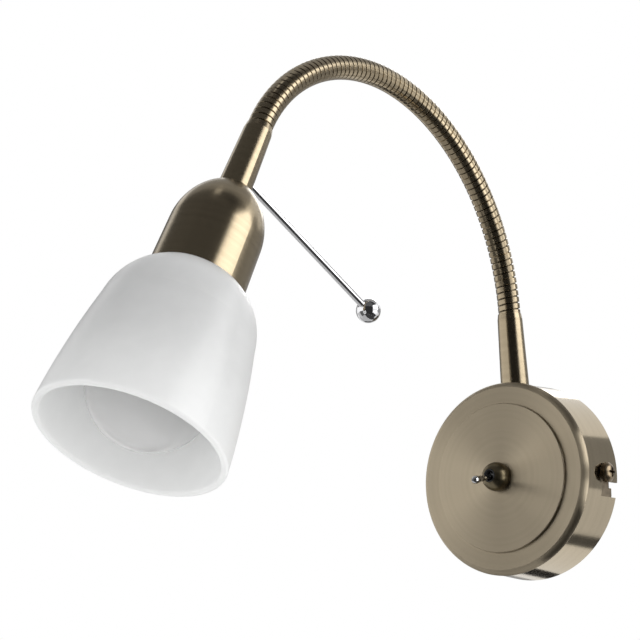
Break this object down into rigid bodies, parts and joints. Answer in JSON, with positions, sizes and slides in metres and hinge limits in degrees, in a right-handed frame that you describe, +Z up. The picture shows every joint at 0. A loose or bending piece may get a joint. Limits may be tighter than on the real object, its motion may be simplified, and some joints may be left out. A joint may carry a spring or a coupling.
{
  "type": "bedside wall reading lamp",
  "caption": "Round wall canopy with a toggle switch, a bendable gooseneck arm and a reading head with an opal glass shade and aiming handle.",
  "frame": {"origin": "middle of the wall bracket's two screw slots, on the wall plane", "axes": "+Z up, -Y out of the wall into the room, +X to the right seen from the room"},
  "size_m": [0.0932, 0.2791, 0.2101],
  "materials": {
    "brushed_brass": "antique brass plating, turned and brushed, satin lacquer",
    "satin_brass": "antique brass plating, satin to glossy",
    "neck_brass": "antique brass plating on wound steel, satin",
    "chrome": "polished chrome",
    "zinc_steel": "zinc plated, dull",
    "bronze_steel": "bronzed screw",
    "terminal_brass": "bare brass",
    "black_plastic": "moulded, satin",
    "white_plastic": "moulded, satin",
    "clear_plastic": "translucent natural nylon",
    "opal_glass": "opal glass, satin etched",
    "bulb_glass": "frosted white",
    "bare_tin": "tinned",
    "lead_white": "insulation, white"
  },
  "bodies": {
    "base": {"arm_nipple": "zinc_steel", "arm_nut": "zinc_steel", "arm_sleeve": "satin_brass", "arm_washer": "zinc_steel", "canopy": "brushed_brass", "earth_screw": "zinc_steel", "lead_from_switch": "lead_white", "lead_neutral": "lead_white", "lead_to_switch": "lead_white", "neck_link_01": "neck_brass", "side_screws": "bronze_steel", "side_washers": "bronze_steel", "switch_body": "black_plastic", "switch_bush": "black_plastic", "switch_nut": "brushed_brass", "switch_terminals": "terminal_brass", "switch_washer": "zinc_steel", "terminal_block": "clear_plastic", "terminal_screws": "zinc_steel", "wall_bracket": "zinc_steel"},
    "toggle": {"toggle_lever": "chrome"},
    "neck_02": {"neck_link_02": "neck_brass"},
    "neck_03": {"neck_link_03": "neck_brass"},
    "neck_04": {"neck_link_04": "neck_brass"},
    "neck_05": {"neck_link_05": "neck_brass"},
    "neck_06": {"neck_link_06": "neck_brass"},
    "neck_07": {"neck_link_07": "neck_brass"},
    "neck_08": {"neck_link_08": "neck_brass"},
    "neck_09": {"neck_link_09": "neck_brass"},
    "neck_10": {"neck_link_10": "neck_brass"},
    "neck_11": {"neck_link_11": "neck_brass"},
    "neck_12": {"neck_link_12": "neck_brass"},
    "neck_13": {"neck_link_13": "neck_brass"},
    "neck_14": {"neck_link_14": "neck_brass"},
    "neck_15": {"neck_link_15": "neck_brass"},
    "neck_16": {"neck_link_16": "neck_brass"},
    "neck_17": {"neck_link_17": "neck_brass"},
    "head": {"head_sleeve": "satin_brass", "head_nipple": "zinc_steel", "head_nut": "zinc_steel", "head_cup": "satin_brass", "lampholder_body": "white_plastic", "lampholder_shell": "terminal_brass", "lampholder_contact": "terminal_brass", "shade_glass": "opal_glass", "shade_ring": "white_plastic", "bulb_globe": "bulb_glass", "bulb_collar": "white_plastic", "bulb_cap": "bare_tin", "bulb_contact": "bare_tin", "handle_rod": "chrome", "handle_ball": "chrome", "neck_link_18": "neck_brass"}
  },
  "joints": [
    {"name": "toggle", "type": "hinge", "parent": "base", "child": "toggle", "pos_m": [0, -0.031, 0], "axis": [-1, 0, 0], "range_deg": [0, 24]},
    {"name": "neck_bend_01", "type": "hinge", "parent": "base", "child": "neck_02", "pos_m": [0, -0.01615, 0.08809], "axis": [1, 0, 0], "range_deg": [-12, 4]},
    {"name": "neck_bend_02", "type": "hinge", "parent": "neck_02", "child": "neck_03", "pos_m": [0, -0.01981, 0.10042], "axis": [1, 0, 0], "range_deg": [-12, 4]},
    {"name": "neck_side_03", "type": "hinge", "parent": "neck_03", "child": "neck_04", "pos_m": [0, -0.02511, 0.11213], "axis": [0, 0.8808, 0.4735], "range_deg": [-9, 9]},
    {"name": "neck_bend_04", "type": "hinge", "parent": "neck_04", "child": "neck_05", "pos_m": [0, -0.03195, 0.12301], "axis": [1, 0, 0], "range_deg": [-12, 4]},
    {"name": "neck_bend_05", "type": "hinge", "parent": "neck_05", "child": "neck_06", "pos_m": [0, -0.04022, 0.13286], "axis": [1, 0, 0], "range_deg": [-12, 4]},
    {"name": "neck_side_06", "type": "hinge", "parent": "neck_06", "child": "neck_07", "pos_m": [0, -0.04974, 0.1415], "axis": [0, 0.6195, 0.785], "range_deg": [-9, 9]},
    {"name": "neck_bend_07", "type": "hinge", "parent": "neck_07", "child": "neck_08", "pos_m": [0, -0.06035, 0.14876], "axis": [1, 0, 0], "range_deg": [-12, 4]},
    {"name": "neck_bend_08", "type": "hinge", "parent": "neck_08", "child": "neck_09", "pos_m": [0, -0.07185, 0.1545], "axis": [1, 0, 0], "range_deg": [-12, 4]},
    {"name": "neck_side_09", "type": "hinge", "parent": "neck_09", "child": "neck_10", "pos_m": [0, -0.08403, 0.15863], "axis": [0, 0.2556, 0.9668], "range_deg": [-9, 9]},
    {"name": "neck_bend_10", "type": "hinge", "parent": "neck_10", "child": "neck_11", "pos_m": [0, -0.09666, 0.16106], "axis": [1, 0, 0], "range_deg": [-12, 4]},
    {"name": "neck_bend_11", "type": "hinge", "parent": "neck_11", "child": "neck_12", "pos_m": [0, -0.10949, 0.16174], "axis": [1, 0, 0], "range_deg": [-12, 4]},
    {"name": "neck_side_12", "type": "hinge", "parent": "neck_12", "child": "neck_13", "pos_m": [0, -0.1223, 0.16065], "axis": [0, -0.1536, 0.9881], "range_deg": [-9, 9]},
    {"name": "neck_bend_13", "type": "hinge", "parent": "neck_13", "child": "neck_14", "pos_m": [0, -0.13484, 0.15779], "axis": [1, 0, 0], "range_deg": [-12, 4]},
    {"name": "neck_bend_14", "type": "hinge", "parent": "neck_14", "child": "neck_15", "pos_m": [0, -0.14684, 0.15319], "axis": [1, 0, 0], "range_deg": [-12, 4]},
    {"name": "neck_side_15", "type": "hinge", "parent": "neck_15", "child": "neck_16", "pos_m": [0, -0.15805, 0.14689], "axis": [0, -0.5532, 0.833], "range_deg": [-9, 9]},
    {"name": "neck_bend_16", "type": "hinge", "parent": "neck_16", "child": "neck_17", "pos_m": [0, -0.16817, 0.13896], "axis": [1, 0, 0], "range_deg": [-12, 4]},
    {"name": "neck_bend_17", "type": "hinge", "parent": "neck_17", "child": "head", "pos_m": [0, -0.17685, 0.12949], "axis": [1, 0, 0], "range_deg": [-12, 4]}
  ]
}
